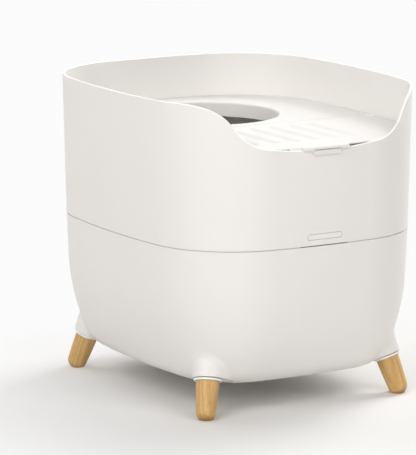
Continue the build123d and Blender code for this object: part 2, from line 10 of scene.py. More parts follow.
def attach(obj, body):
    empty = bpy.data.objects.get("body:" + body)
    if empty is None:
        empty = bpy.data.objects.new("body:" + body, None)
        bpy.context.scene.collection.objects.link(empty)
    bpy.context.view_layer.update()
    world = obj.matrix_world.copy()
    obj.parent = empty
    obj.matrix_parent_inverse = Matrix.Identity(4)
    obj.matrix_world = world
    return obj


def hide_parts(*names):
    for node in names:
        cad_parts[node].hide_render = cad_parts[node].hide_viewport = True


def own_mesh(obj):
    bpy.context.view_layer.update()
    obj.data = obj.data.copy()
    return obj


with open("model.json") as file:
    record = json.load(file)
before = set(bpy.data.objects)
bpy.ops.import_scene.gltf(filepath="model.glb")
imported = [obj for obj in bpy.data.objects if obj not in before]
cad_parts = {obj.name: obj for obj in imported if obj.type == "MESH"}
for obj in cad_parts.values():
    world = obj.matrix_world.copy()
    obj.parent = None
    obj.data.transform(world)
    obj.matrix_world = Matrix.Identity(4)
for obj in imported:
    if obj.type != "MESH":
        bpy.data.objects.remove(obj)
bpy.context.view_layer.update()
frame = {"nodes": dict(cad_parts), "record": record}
nodes = frame["nodes"]
scene = bpy.context.scene
mm = 0.001
print("frame loaded:", len(nodes), "nodes")


# finishes

def newFinish(name):
    finish = bpy.data.materials.new(name)
    finish.use_nodes = True
    tree = finish.node_tree
    return finish, tree, tree.nodes["Principled BSDF"]


def addNode(tree, kind, **sockets):
    node = tree.nodes.new(kind)
    for socket, value in sockets.items():
        node.inputs[socket].default_value = value
    return node


def addMix(tree, first, second):
    mix = tree.nodes.new("ShaderNodeMix")
    mix.data_type = "RGBA"
    mix.inputs["A"].default_value = first
    mix.inputs["B"].default_value = second
    return mix


def addMath(tree, operation, clamp=False):
    node = tree.nodes.new("ShaderNodeMath")
    node.operation = operation
    node.use_clamp = clamp
    return node


def addRange(tree, fromMin, fromMax, toMin, toMax):
    return addNode(tree, "ShaderNodeMapRange", **{
        "From Min": fromMin, "From Max": fromMax, "To Min": toMin, "To Max": toMax})


# colour and its deeper drift, gloss range and shine, mould grain per metre and its height
plastics = {
    "shell": {"colour": (0.86, 0.835, 0.805, 1), "shade": (0.835, 0.81, 0.78, 1),
              "roughness": (0.4, 0.48), "shine": 0.45, "grain": 1400, "grainHeight": 0.00003,
              # painted highlight on the top edge, paler where the surface faces up: its colour, and where
              # it starts and is full by upward slope and by height
              "rim": (0.99, 0.98, 0.96, 1), "rimFacing": (0.1, 0.5), "rimHeight": (0.355, 0.365)},
    "deck": {"colour": (0.845, 0.825, 0.8, 1), "shade": (0.82, 0.8, 0.775, 1),
             "roughness": (0.48, 0.58), "shine": 0.28, "grain": 1400, "grainHeight": 0.00003},
    "button": {"colour": (0.87, 0.85, 0.825, 1), "shade": (0.85, 0.83, 0.805, 1),
               "roughness": (0.34, 0.42), "shine": 0.45, "grain": 1800, "grainHeight": 0.00002},
    "collar": {"colour": (0.94, 0.935, 0.925, 1), "shade": (0.92, 0.915, 0.905, 1),
               "roughness": (0.24, 0.32), "shine": 0.5, "grain": 1800, "grainHeight": 0.00001},
    "inner": {"colour": (0.8, 0.785, 0.76, 1), "shade": (0.75, 0.735, 0.71, 1),
              "roughness": (0.46, 0.58), "shine": 0.4, "grain": 900, "grainHeight": 0.00005},
}
moulding = {"driftScale": 7, "driftDetail": 3, "driftRoughness": 0.55, "driftSpan": (0.3, 0.7),
            "grainDetail": 2, "grainStrength": 0.35}


# painted highlight: the shell's top edge is drawn paler where it faces up near the top, standing in for
# light on the rounded rim
def paintRimHighlight(tree, place, tint, look):
    link = tree.links.new
    facing = tree.nodes.new("ShaderNodeSeparateXYZ")
    height = tree.nodes.new("ShaderNodeSeparateXYZ")
    upward = addRange(tree, *look["rimFacing"], 0, 1)
    above = addRange(tree, *look["rimHeight"], 0, 1)
    share = addMath(tree, "MULTIPLY")
    highlighted = addMix(tree, look["colour"], look["rim"])
    link(place.outputs["Normal"], facing.inputs["Vector"])
    link(place.outputs["Object"], height.inputs["Vector"])
    link(facing.outputs["Z"], upward.inputs["Value"])
    link(height.outputs["Z"], above.inputs["Value"])
    link(upward.outputs["Result"], share.inputs[0])
    link(above.outputs["Result"], share.inputs[1])
    link(share.outputs["Value"], highlighted.inputs["Factor"])
    link(tint.outputs["Result"], highlighted.inputs["A"])
    return highlighted


def mouldedPlastic(name, look):
    finish, tree, shader = newFinish(name)
    link = tree.links.new
    place = tree.nodes.new("ShaderNodeTexCoord")
    drift = addNode(tree, "ShaderNodeTexNoise", Scale=moulding["driftScale"],
                    Detail=moulding["driftDetail"], Roughness=moulding["driftRoughness"])
    tint = addMix(tree, look["colour"], look["shade"])
    gloss = addRange(tree, *moulding["driftSpan"], *look["roughness"])
    grain = addNode(tree, "ShaderNodeTexNoise", Scale=look["grain"], Detail=moulding["grainDetail"])
    bump = addNode(tree, "ShaderNodeBump", Strength=moulding["grainStrength"], Distance=look["grainHeight"])
    link(place.outputs["Object"], drift.inputs["Vector"])
    link(place.outputs["Object"], grain.inputs["Vector"])
    link(drift.outputs["Fac"], tint.inputs["Factor"])
    link(drift.outputs["Fac"], gloss.inputs["Value"])
    # painted highlight along the shell's top edge
    if "rim" in look:
        tint = paintRimHighlight(tree, place, tint, look)
    link(tint.outputs["Result"], shader.inputs["Base Color"])
    link(gloss.outputs["Result"], shader.inputs["Roughness"])
    link(grain.outputs["Fac"], bump.inputs["Height"])
    link(bump.outputs["Normal"], shader.inputs["Normal"])
    shader.inputs["Specular IOR Level"].default_value = look["shine"]
    return finish


paleWood = {
    "early": (0.735, 0.475, 0.195, 1), "late": (0.515, 0.285, 0.09, 1), "pore": (0.34, 0.17, 0.045, 1),
    "pith": (0.034, 0.015, 0),  # centre of the growth rings, off the leg's own axis
    "ringScale": 70, "ringDrawn": 0.02, "ringShare": (0.08, 0.56),
    "ringWander": {"Distortion": 1.6, "Detail": 3, "Detail Scale": 1.2, "Detail Roughness": 0.6},
    "poreScale": 1500, "poreDrawn": 0.03, "poreSpan": (0.53, 0.68), "poreShare": 0.55,
    "poreStrength": 0.5, "poreDepth": 0.00008,
    "driftScale": 45, "driftSpan": (0.3, 0.7), "driftShare": (-0.12, 0.16),
    "fineness": {"Detail": 3, "Roughness": 0.6},  # of the pores and the drift
    # end grain and painted contact shade: darker across the toe, from one downward slope to the other
    "toeShadeAndEndGrain": (0.27, 0.125, 0.03, 1), "endFrom": -0.35, "endTo": -0.95, "endShare": 0.75,
    "roughness": (0.4, 0.54), "lacquer": 0.06, "lacquerRoughness": 0.3, "shine": 0.3,
}


def turnedWood(name, look):
    finish, tree, shader = newFinish(name)
    link = tree.links.new
    place = tree.nodes.new("ShaderNodeTexCoord")
    ringPlace = addNode(tree, "ShaderNodeMapping", Location=look["pith"], Scale=(1, 1, look["ringDrawn"]))
    rings = addNode(tree, "ShaderNodeTexWave", Scale=look["ringScale"], **look["ringWander"])
    rings.wave_type = "RINGS"
    rings.rings_direction = "Z"
    rings.wave_profile = "SIN"
    porePlace = addNode(tree, "ShaderNodeMapping", Scale=(1, 1, look["poreDrawn"]))
    pores = addNode(tree, "ShaderNodeTexNoise", Scale=look["poreScale"], **look["fineness"])
    poreMask = addRange(tree, *look["poreSpan"], 0, look["poreShare"])
    drift = addNode(tree, "ShaderNodeTexNoise", Scale=look["driftScale"], **look["fineness"])
    ringShare = addRange(tree, 0, 1, *look["ringShare"])
    driftShare = addRange(tree, *look["driftSpan"], *look["driftShare"])
    tone = addMath(tree, "ADD", clamp=True)
    wood = addMix(tree, look["early"], look["late"])
    streaked = addMix(tree, look["early"], look["pore"])
    # painted contact shade together with end grain: darker where the leg faces down, at the toe
    facing = tree.nodes.new("ShaderNodeSeparateXYZ")
    toeShadeMask = addRange(tree, look["endFrom"], look["endTo"], 0, look["endShare"])
    toeShadedWood = addMix(tree, look["early"], look["toeShadeAndEndGrain"])
    gloss = addRange(tree, 0, 1, *look["roughness"])
    bump = addNode(tree, "ShaderNodeBump", Strength=look["poreStrength"], Distance=look["poreDepth"])
    bump.invert = True
    link(place.outputs["Object"], ringPlace.inputs["Vector"])
    link(place.outputs["Object"], porePlace.inputs["Vector"])
    link(ringPlace.outputs["Vector"], rings.inputs["Vector"])
    link(ringPlace.outputs["Vector"], drift.inputs["Vector"])
    link(porePlace.outputs["Vector"], pores.inputs["Vector"])
    link(rings.outputs["Fac"], ringShare.inputs["Value"])
    link(drift.outputs["Fac"], driftShare.inputs["Value"])
    link(ringShare.outputs["Result"], tone.inputs[0])
    link(driftShare.outputs["Result"], tone.inputs[1])
    link(tone.outputs["Value"], wood.inputs["Factor"])
    link(pores.outputs["Fac"], poreMask.inputs["Value"])
    link(poreMask.outputs["Result"], streaked.inputs["Factor"])
    link(wood.outputs["Result"], streaked.inputs["A"])
    link(place.outputs["Normal"], facing.inputs["Vector"])
    link(facing.outputs["Z"], toeShadeMask.inputs["Value"])
    link(toeShadeMask.outputs["Result"], toeShadedWood.inputs["Factor"])
    link(streaked.outputs["Result"], toeShadedWood.inputs["A"])
    link(toeShadedWood.outputs["Result"], shader.inputs["Base Color"])
    link(poreMask.outputs["Result"], gloss.inputs["Value"])
    link(gloss.outputs["Result"], shader.inputs["Roughness"])
    link(poreMask.outputs["Result"], bump.inputs["Height"])
    link(bump.outputs["Normal"], shader.inputs["Normal"])
    shader.inputs["Specular IOR Level"].default_value = look["shine"]
    shader.inputs["Coat Weight"].default_value = look["lacquer"]
    shader.inputs["Coat Roughness"].default_value = look["lacquerRoughness"]
    return finish


# bright and dull tones, gloss range, streaks per metre and how far each is drawn out along x, y, z
metals = {
    "pin": {"bright": (0.66, 0.66, 0.67, 1), "dull": (0.5, 0.5, 0.51, 1), "roughness": (0.2, 0.36),
            "streak": 900, "drawn": (0.05, 1, 1)},
    "spring": {"bright": (0.62, 0.62, 0.64, 1), "dull": (0.42, 0.42, 0.44, 1), "roughness": (0.22, 0.4),
               "streak": 700, "drawn": (1, 1, 1)},
    "screw": {"bright": (0.7, 0.7, 0.7, 1), "dull": (0.55, 0.55, 0.54, 1), "roughness": (0.26, 0.46),
              "streak": 500, "drawn": (1, 1, 1)},
    "bolt": {"bright": (0.7, 0.7, 0.69, 1), "dull": (0.54, 0.54, 0.52, 1), "roughness": (0.26, 0.46),
             "streak": 500, "drawn": (1, 1, 0.2)},
    "insert": {"bright": (0.8, 0.61, 0.28, 1), "dull": (0.6, 0.42, 0.17, 1), "roughness": (0.24, 0.44),
               "streak": 700, "drawn": (1, 1, 1)},
}
streaking = {"fineness": {"Detail": 4, "Roughness": 0.65}, "span": (0.35, 0.65),
             "strength": 0.3, "height": 0.00002}


def workedMetal(name, look):
    finish, tree, shader = newFinish(name)
    link = tree.links.new
    place = tree.nodes.new("ShaderNodeTexCoord")
    drawn = addNode(tree, "ShaderNodeMapping", Scale=look["drawn"])
    streaks = addNode(tree, "ShaderNodeTexNoise", Scale=look["streak"], **streaking["fineness"])
    share = addRange(tree, *streaking["span"], 0, 1)
    tone = addMix(tree, look["bright"], look["dull"])
    gloss = addRange(tree, 0, 1, *look["roughness"])
    bump = addNode(tree, "ShaderNodeBump", Strength=streaking["strength"], Distance=streaking["height"])
    link(place.outputs["Object"], drawn.inputs["Vector"])
    link(drawn.outputs["Vector"], streaks.inputs["Vector"])
    link(streaks.outputs["Fac"], share.inputs["Value"])
    link(share.outputs["Result"], tone.inputs["Factor"])
    link(share.outputs["Result"], gloss.inputs["Value"])
    link(tone.outputs["Result"], shader.inputs["Base Color"])
    link(gloss.outputs["Result"], shader.inputs["Roughness"])
    link(streaks.outputs["Fac"], bump.inputs["Height"])
    link(bump.outputs["Normal"], shader.inputs["Normal"])
    shader.inputs["Metallic"].default_value = 1
    return finish


finishes = {
    "shell_plastic": mouldedPlastic("shellPlastic", plastics["shell"]),
    "deck_plastic": mouldedPlastic("deckPlastic", plastics["deck"]),
    "button_plastic": mouldedPlastic("buttonPlastic", plastics["button"]),
    "collar_plastic": mouldedPlastic("collarPlastic", plastics["collar"]),
    "inner_plastic": mouldedPlastic("innerPlastic", plastics["inner"]),
    "leg_wood": turnedWood("legWood", paleWood),
    "pin_steel": workedMetal("pinSteel", metals["pin"]),
    "spring_steel": workedMetal("springSteel", metals["spring"]),
    "screw_steel": workedMetal("screwSteel", metals["screw"]),
    "bolt_steel": workedMetal("boltSteel", metals["bolt"]),
    "insert_brass": workedMetal("insertBrass", metals["insert"]),
}
for part in frame["record"]["subparts"]:
    nodes[part["node"]].data.materials.clear()
    nodes[part["node"]].data.materials.append(finishes[part["material_slot"]])
print("finishes made:", len(finishes))


# pieces

def newPiece(name, points, faces, finish):
    mesh = bpy.data.meshes.new(name)
    mesh.from_pydata(points, [], faces)
    mesh.validate()
    work = bmesh.new()
    work.from_mesh(mesh)
    bmesh.ops.recalc_face_normals(work, faces=work.faces)  # every skin faces outward
    work.to_mesh(mesh)
    work.free()
    mesh.materials.append(finishes[finish])
    piece = bpy.data.objects.new(name, mesh)
    scene.collection.objects.link(piece)
    return piece


def standFor(piece, body, node):
    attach(piece, body)
    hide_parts(node)


def shadeSmooth(piece, angle):
    piece.data.polygons.foreach_set("use_smooth", [True] * len(piece.data.polygons))
    piece.data.set_sharp_from_angle(angle=math.radians(angle))


def arcPoints(centre, radius, start, end, count):
    angles = [math.radians(start + (end - start) * i / count) for i in range(count + 1)]
    return [(centre[0] + radius * math.cos(a), centre[1] + radius * math.sin(a)) for a in angles]


def turnProfile(profile, sides, closed):
    # radii and heights in millimetres, turned about z
    points, faces, rows = [], [], []
    for radius, height in profile:
        if radius == 0:  # one point on the axis
            rows.append([len(points)] * sides)
            points.append((0, 0, height * mm))
            continue
        rows.append(list(range(len(points), len(points) + sides)))
        for i in range(sides):
            turn = 2 * math.pi * i / sides
            points.append((radius * mm * math.cos(turn), radius * mm * math.sin(turn), height * mm))
    following = rows[1:] + rows[:1] if closed else rows[1:]
    for upper, lower in zip(rows, following):
        for i in range(sides):
            j = (i + 1) % sides
            face = []
            for corner in (upper[i], lower[i], lower[j], upper[j]):
                if corner not in face:
                    face.append(corner)
            if len(face) > 2:
                faces.append(tuple(face))
    return points, faces


def tubeFaces(rows, size):
    # closed rows of points, each joined to the next, with a face over both ends
    faces = [tuple(range(size)), tuple(range((rows - 1) * size, rows * size))]
    for row in range(rows - 1):
        a, b = row * size, (row + 1) * size
        for i in range(size):
            j = (i + 1) % size
            faces.append((a + i, b + i, b + j, a + j))
    return faces


# legs and collars, in millimetres, each in its own frame: origin on the socket's seat, z up along the leg
legSeat = {"x": 147.389, "y": 172.850, "z": 54.2, "splay": 22, "turn": 52}
legShape = {
    "top": 16.4, "cup": -3.0, "foot": 14.1, "round": 12.6, "end": -60.097,
    "crown": 0.6, "breakIn": 0.4, "breakDown": 0.3,  # inner ring of the top as a share, and its broken edge
    "swell": 0.25,  # a turner's slight fullness along the taper
    "taperSteps": 14, "toeSteps": 16, "sides": 72, "smooth": 40,
}
collarShape = {
    "land": 13.5, "gap": 1.3, "radius": 19.7, "bottom": -4.2, "cup": 16.6, "cupTop": -3.0, "hole": 4.05,
    "edge": 0.7, "landBreak": 0.2, "cupBreak": 0.3, "edgeSteps": 6, "sides": 96, "smooth": 35,
}


def legPlace(xSign, ySign):
    turn, splay = math.radians(legSeat["turn"]), math.radians(legSeat["splay"])
    inward = Vector((-xSign * math.cos(turn), -ySign * math.sin(turn), 0))
    along = inward * math.sin(splay) + Vector((0, 0, math.cos(splay)))
    across = inward * math.cos(splay) - Vector((0, 0, math.sin(splay)))
    place = Matrix((across, along.cross(across), along)).transposed().to_4x4()
    place.translation = Vector((xSign * legSeat["x"], ySign * legSeat["y"], legSeat["z"])) * mm
    return place


def makeLeg(name, place, grainTurn):
    shape = legShape
    top, cup, foot = shape["top"], shape["cup"], shape["foot"]
    taperStart, taperEnd = cup - shape["breakDown"], shape["end"] + shape["round"]
    profile = [(0, cup), (top * shape["crown"], cup), (top - shape["breakIn"], cup)]
    for i in range(shape["taperSteps"] + 1):
        share = i / shape["taperSteps"]
        radius = top + (foot - top) * share + shape["swell"] * math.sin(math.pi * share)
        profile.append((radius, taperStart + (taperEnd - taperStart) * share))
    toe = arcPoints((foot - shape["round"], taperEnd), shape["round"], 0, -90, shape["toeSteps"])
    profile += toe[1:] + [(0, shape["end"])]
    points, faces = turnProfile(profile, shape["sides"], False)
    turned = place @ Matrix.Rotation(math.radians(grainTurn), 4, "Z")
    back = turned.inverted()
    settled = []
    for point in points:
        spot = turned @ Vector(point)
        spot.z = max(spot.z, 0)  # the sole stands flat on the floor
        settled.append(back @ spot)
    leg = newPiece(name, settled, faces, "leg_wood")
    leg.matrix_world = turned
    shadeSmooth(leg, shape["smooth"])
    return leg


def makeCollar(name, place):
    shape = collarShape
    radius, bottom, edge, steps = shape["radius"], shape["bottom"], shape["edge"], shape["edgeSteps"]
    land, landBreak, gap = shape["land"], shape["landBreak"], shape["gap"]
    cup, cupBreak = shape["cup"], shape["cupBreak"]
    profile = [(shape["hole"], 0), (land - landBreak, 0), (land, -landBreak), (land, -gap)]
    profile += arcPoints((radius - edge, -gap - edge), edge, 90, 0, steps)
    profile += arcPoints((radius - edge, bottom + edge), edge, 0, -90, steps)
    profile += [(cup + cupBreak, bottom), (cup, bottom + cupBreak)]
    profile += [(cup, shape["cupTop"]), (shape["hole"], shape["cupTop"])]
    points, faces = turnProfile(profile, shape["sides"], True)
    collar = newPiece(name, points, faces, "collar_plastic")
    collar.matrix_world = place
    shadeSmooth(collar, shape["smooth"])
    return collar


grainTurns = {"front_left": 200, "front_right": 75, "rear_left": 320, "rear_right": 140}
for corner, grainTurn in grainTurns.items():
    row, side = corner.split("_")
    place = legPlace(-1 if side == "left" else 1, -1 if row == "front" else 1)
    suffix = row.capitalize() + side.capitalize()
    standFor(makeLeg("leg" + suffix, place, grainTurn), "base", "leg_" + corner)
    standFor(makeCollar("collar" + suffix, place), "base", "leg_collar_" + corner)
print("legs and collars turned")


# lid, in millimetres
lidShape = {
    # outline: an arc for each side, one for the front and one for each corner
    "sideCentre": -870, "sideRadius": 1073.4, "frontCentre": 760, "frontRadius": 998.4,
    "cornerRadius": 127.4, "sideSteps": 8, "cornerSteps": 40,
    "frontHalf": 78,  # the front has a point every millimetre up to here
    # plate and turned edge, with the rounds of its small edges
    "top": 378, "plate": 3, "ledge": 371, "roll": 4.5, "rollTurns": range(80, -1, -10), "edge": 2.5,
    "soft": 0.4, "softMid": 0.12, "hollow": 1.4, "hollowMid": 0.4,
    # hinge strip and the bead round its pins
    "rear": -51, "hinge": (-46, 374), "hingeSteps": 60,
    "bead": 4, "beadHalf": 189.33, "beadEnd": 0.8, "beadSteps": 40,
    # grooves, which end at one distance from the front of the shell, and the grid that carries them
    "grooves": 6, "pitch": 32, "grooveWidth": 19, "grooveDepth": 3.2, "grooveRear": -70, "grooveFront": 58,
    "shellFront": 1005,
    "gridX": 1.6, "gridY": 2.4, "gridRear": -56, "gridRows": 77, "gridSide": 4, "gridFront": 3,
    # thin edge over the rim beside the lip
    "slots": ((-78, -53), (35.5, 76)), "slotBlend": 3, "slotEdge": 375.5, "slotRound": 1, "slotReach": 4,
    # lip over the rim
    "lipHalf": 35.7, "lipFront": -246.48, "lipRear": -231, "lipBottom": 372.1, "lipRound": 3, "lipEnd": 1.0,
    "lipEdge": 0.6, "lipSlope": (3.4, 0.5), "lipSteps": 8, "lipEdgeSteps": 4,
    # pull tab below the lip, with its border and finger recess
    "tabHalf": 21.5, "tabBack": -244.08, "tabBottom": 366, "tabOverlap": 2, "tabBorder": 1.7,
    "tabCorner": 2.0, "tabEase": (0.1, 0.3), "tabSteps": 6,  # the corner tightens towards the front
    "tabRecess": 1.0, "recessHeight": 5.6, "recessSoft": 0.2, "recessCorner": 0.7,
    "smooth": 35,
}


def slotShare(x):
    reach = max(min(x - start, end - x) for start, end in lidShape["slots"])
    share = min(max(reach / lidShape["slotBlend"], 0), 1)
    return share * share * (3 - 2 * share)  # eases in and out


def lidCorner():
    # centre of the corner's arc, which runs on from the arcs of the side and the front without a kink
    shape = lidShape
    side, front = Vector((shape["sideCentre"], 0)), Vector((0, shape["frontCentre"]))
    sideReach = shape["sideRadius"] - shape["cornerRadius"]
    frontReach = shape["frontRadius"] - shape["cornerRadius"]
    return min(intersect_sphere_sphere_2d(side, sideReach, front, frontReach), key=lambda spot: spot.y)


def lidOutline(inset):
    # from the rear right round the front to the rear left
    shape = lidShape
    side, front = shape["sideRadius"] - inset, shape["frontRadius"] - inset
    corner = lidCorner()
    sideEnd = -math.degrees(math.atan2(-corner.y, corner.x - shape["sideCentre"]))
    frontStart = -math.degrees(math.atan2(shape["frontCentre"] - corner.y, corner.x))
    rearAngle = math.degrees(math.asin(shape["rear"] / side))
    right = arcPoints((shape["sideCentre"], 0), side, rearAngle, sideEnd, shape["sideSteps"])
    right += arcPoints(corner, shape["cornerRadius"] - inset, sideEnd, frontStart, shape["cornerSteps"])[1:]
    for x in range(shape["frontHalf"], -1, -1):
        angle = math.acos(x / shape["frontRadius"])
        right.append((front * math.cos(angle), shape["frontCentre"] - front * math.sin(angle)))
    return right + [(-x, y) for x, y in reversed(right[:-1])]


def grooveDepth(x, y):
    shape = lidShape
    deepest = 0
    for i in range(shape["grooves"]):
        middle = (i - (shape["grooves"] - 1) / 2) * shape["pitch"]
        shellFront = shape["frontCentre"] - math.sqrt(shape["shellFront"] ** 2 - middle ** 2)
        past = max(y - shape["grooveRear"], shellFront + shape["grooveFront"] - y, 0)
        reach = min(math.hypot(x - middle, past) / (shape["grooveWidth"] / 2), 1)
        deepest = max(deepest, shape["grooveDepth"] * 0.5 * (1 + math.cos(math.pi * reach)))
    return deepest


def plateLoop(rim):
    shape = lidShape
    bead, steps = shape["beadHalf"], shape["hingeSteps"]
    strip = [(-bead + i * 2 * bead / steps, shape["hinge"][0]) for i in range(steps + 1)]
    return rim + [(-bead, shape["rear"])] + strip + [(bead, shape["rear"])]


def plateGrid():
    shape = lidShape
    half = shape["grooves"] / 2 * shape["pitch"] + shape["gridSide"]
    front = shape["frontRadius"] - shape["roll"] - shape["gridFront"]
    xs = [-half + i * shape["gridX"] for i in range(int(2 * half / shape["gridX"]) + 1)]
    ys = [shape["gridRear"] - i * shape["gridY"] for i in range(shape["gridRows"])]
    return [(x, y) for y in ys for x in xs if y > shape["frontCentre"] - math.sqrt(front ** 2 - x ** 2)]


def edgeSections():
    # insets and heights from the flat top to the underside: the rolled edge, and the thinned one
    shape = lidShape
    top, roll, edge, ledge = shape["top"], shape["roll"], shape["edge"], shape["ledge"]
    soft, softMid, hollow, hollowMid = shape["soft"], shape["softMid"], shape["hollow"], shape["hollowMid"]
    under, slot, slotRound = top - shape["plate"], shape["slotEdge"], shape["slotRound"]
    turns = [math.radians(t) for t in shape["rollTurns"]]
    rolled = [(roll * (1 - math.cos(t)), top - roll + roll * math.sin(t)) for t in turns]
    thinned = []
    for inset, _ in rolled:
        short = max(slotRound - inset, 0)
        thinned.append((inset, top - slotRound + math.sqrt(slotRound ** 2 - short ** 2)))
    rolled += [(0, ledge + soft), (softMid, ledge + softMid), (soft, ledge)]
    rolled += [(edge - soft, ledge), (edge - softMid, ledge + softMid), (edge, ledge + soft)]
    rolled += [(edge, under - hollow), (edge + hollowMid, under - hollowMid), (edge + hollow, under)]
    thinned += [(0, slot + soft), (softMid, slot + softMid), (soft, slot)]
    steps = len(rolled) - len(thinned)  # both have as many points
    for i in range(1, steps + 1):
        share = i / steps
        thinned.append((soft + (shape["slotReach"] - soft) * share, slot + (under - slot) * share))
    return rolled, thinned


def lidPlate():
    shape = lidShape
    rim = lidOutline(shape["roll"])
    loop = plateLoop(rim)
    ring = list(range(len(loop)))
    edges = [(i, (i + 1) % len(loop)) for i in ring]
    spots = [Vector(p) for p in loop + plateGrid()]
    insideOnly, nearness = 1, 1e-6
    flat, _, triangles, origins, _, _ = delaunay_2d_cdt(spots, edges, [ring], insideOnly, nearness)
    where = {source: i for i, sources in enumerate(origins) for source in sources}
    points = [(p.x, p.y, shape["top"] - grooveDepth(p.x, p.y)) for p in flat]
    count = len(points)
    points += [(x, y, z - shape["plate"]) for x, y, z in points]
    faces = [tuple(t) for t in triangles] + [tuple(i + count for i in reversed(t)) for t in triangles]
    # straight rear end, from the left corner round the hinge strip to the right corner
    rear = [where[i] for i in range(len(rim) - 1, len(loop))] + [where[0]]
    for a, b in zip(rear, rear[1:]):
        faces.append((a, b, b + count, a + count))
    # edge all round the front, rolled or thinned
    outer = [Vector(p) for p in lidOutline(0)]
    inward = [Vector(p) - q for p, q in zip(lidOutline(1), outer)]
    thin = [slotShare(p.x) for p in outer]
    rows = [[where[i] for i in range(len(rim))]]
    for full, slim in zip(*edgeSections()):
        rows.append(list(range(len(points), len(points) + len(rim))))
        for spot, way, share in zip(outer, inward, thin):
            inset, height = (a + (b - a) * share for a, b in zip(full, slim))
            points.append((*(spot + way * inset), height))
    rows.append([where[i] + count for i in range(len(rim))])
    for upper, lower in zip(rows, rows[1:]):
        for i in range(len(rim) - 1):
            faces.append((upper[i], lower[i], lower[i + 1], upper[i + 1]))
    faces.append(tuple(row[0] for row in rows))
    faces.append(tuple(row[-1] for row in reversed(rows)))
    return points, faces


def sweepAcross(section, half, bevel):
    # a closed section in y and z carried along x, rounded off at both ends
    middleY = sum(y for y, z in section) / len(section)
    middleZ = sum(z for y, z in section) / len(section)
    reachY = max(abs(y - middleY) for y, z in section)
    reachZ = max(abs(z - middleZ) for y, z in section)
    turns = [math.radians(t) for t in range(75, -1, -15)]
    stations = [(-half + bevel * (1 - math.sin(t)), bevel * (1 - math.cos(t))) for t in turns]
    stations += [(-x, draw) for x, draw in reversed(stations)]
    points = []
    for x, draw in stations:
        shareY, shareZ = 1 - draw / reachY, 1 - draw / reachZ
        for y, z in section:
            points.append((x, middleY + (y - middleY) * shareY, middleZ + (z - middleZ) * shareZ))
    return points, tubeFaces(len(stations), len(section))


def lidLip():
    shape = lidShape
    front, rear, edge = shape["lipFront"], shape["lipRear"], shape["lipEdge"]
    top, bottom, turn = shape["top"], shape["lipBottom"], shape["lipRound"]
    run, drop = shape["lipSlope"]
    section = [(rear, bottom), (rear, top - drop), (rear - run, top)]
    section += arcPoints((front + turn, top - turn), turn, 90, 180, shape["lipSteps"])
    section += arcPoints((front + edge, bottom + edge), edge, 180, 270, shape["lipEdgeSteps"])
    return sweepAcross(section, shape["lipHalf"], shape["lipEnd"])


def lidTab():
    # outer face with its border, and the finger recess let into it
    shape = lidShape
    half, bottom, top = shape["tabHalf"], shape["tabBottom"], shape["lipBottom"] + shape["tabOverlap"]
    front, border, corner = shape["lipFront"], shape["tabBorder"], shape["tabCorner"]
    soft, softMid, recessSoft = shape["soft"], shape["softMid"], shape["recessSoft"]
    recessTop = bottom + border + shape["recessHeight"]
    recessCorner, steps = shape["recessCorner"], shape["tabSteps"]
    midEase, frontEase = shape["tabEase"]

    def outline(inset, topZ, corner):
        low = bottom + inset
        ring = [(-half + inset, topZ)]
        ring += arcPoints((-half + inset + corner, low + corner), corner, 180, 270, steps)
        ring += arcPoints((half - inset - corner, low + corner), corner, 270, 360, steps)
        return ring + [(half - inset, topZ)]

    recess = outline(border, recessTop - recessSoft, recessCorner - recessSoft)
    rings = [
        (outline(0, top, corner), shape["tabBack"]),
        (outline(0, top, corner), front + soft),
        (outline(softMid, top, corner - midEase), front + softMid),
        (outline(soft, top, corner - frontEase), front),
        (outline(border - recessSoft, recessTop, recessCorner), front),
        (recess, front + recessSoft),
        (recess, front + shape["tabRecess"]),
    ]
    points = [(x, y, z) for ring, y in rings for x, z in ring]
    return points, tubeFaces(len(rings), len(recess))


def lidBead():
    shape = lidShape
    section = arcPoints(shape["hinge"], shape["bead"], 0, 360, shape["beadSteps"])[:-1]
    return sweepAcross(section, shape["beadHalf"], shape["beadEnd"])


def makeLid():
    points, faces = [], []
    for morePoints, moreFaces in (lidPlate(), lidBead(), lidLip(), lidTab()):
        start = len(points)
        points += [(x * mm, y * mm, z * mm) for x, y, z in morePoints]
        faces += [tuple(i + start for i in face) for face in moreFaces]
    lid = newPiece("treadLid", points, faces, "deck_plastic")
    shadeSmooth(lid, lidShape["smooth"])
    return lid


standFor(makeLid(), "lid", "tread_lid")
print("lid moulded")


# spring of the latch, wound along y in millimetres
coilShape = {
    "start": -227.75, "end": -214.55, "z": 251.5, "radius": 3.2, "wire": 0.5, "turns": 4, "seat": -214,
    "steps": 40, "sides": 12, "smooth": 50, "pressed": 0.72,  # length left when the button is in
}


def makeCoil():
    shape = coilShape
    points = []
    count, sides = shape["turns"] * shape["steps"], shape["sides"]
    along = Vector((0, 1, 0))
    for i in range(count + 1):
        turn = 2 * math.pi * i / shape["steps"]
        out = Vector((math.cos(turn), 0, -math.sin(turn)))
        y = shape["start"] + (shape["end"] - shape["start"]) * i / count
        spot = out * shape["radius"] + Vector((0, y, shape["z"]))
        for j in range(sides):
            bend = 2 * math.pi * j / sides
            points.append((spot + (out * math.cos(bend) + along * math.sin(bend)) * shape["wire"]) * mm)
    coil = newPiece("latchCoil", points, tubeFaces(count + 1, sides), "spring_steel")
    shadeSmooth(coil, shape["smooth"])
    return coil


latchCoil = makeCoil()
standFor(latchCoil, "shell", "latch_spring")
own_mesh(latchCoil)
print("spring wound")


# floor and background

floorLook = {
    "half": 6.0, "colour": (0.83, 0.82, 0.805, 1), "roughness": 0.8, "shine": 0.1,
    # plain white far out: where that starts and is full, in metres round a centre
    "fadeCentre": (0.05, -0.13, 0), "fadeFrom": 0.24, "fadeTo": 0.68, "white": 0.97,
}
skyLook = {"strength": 0.08, "colour": (1, 0.99, 0.975, 1), "white": 0.97}


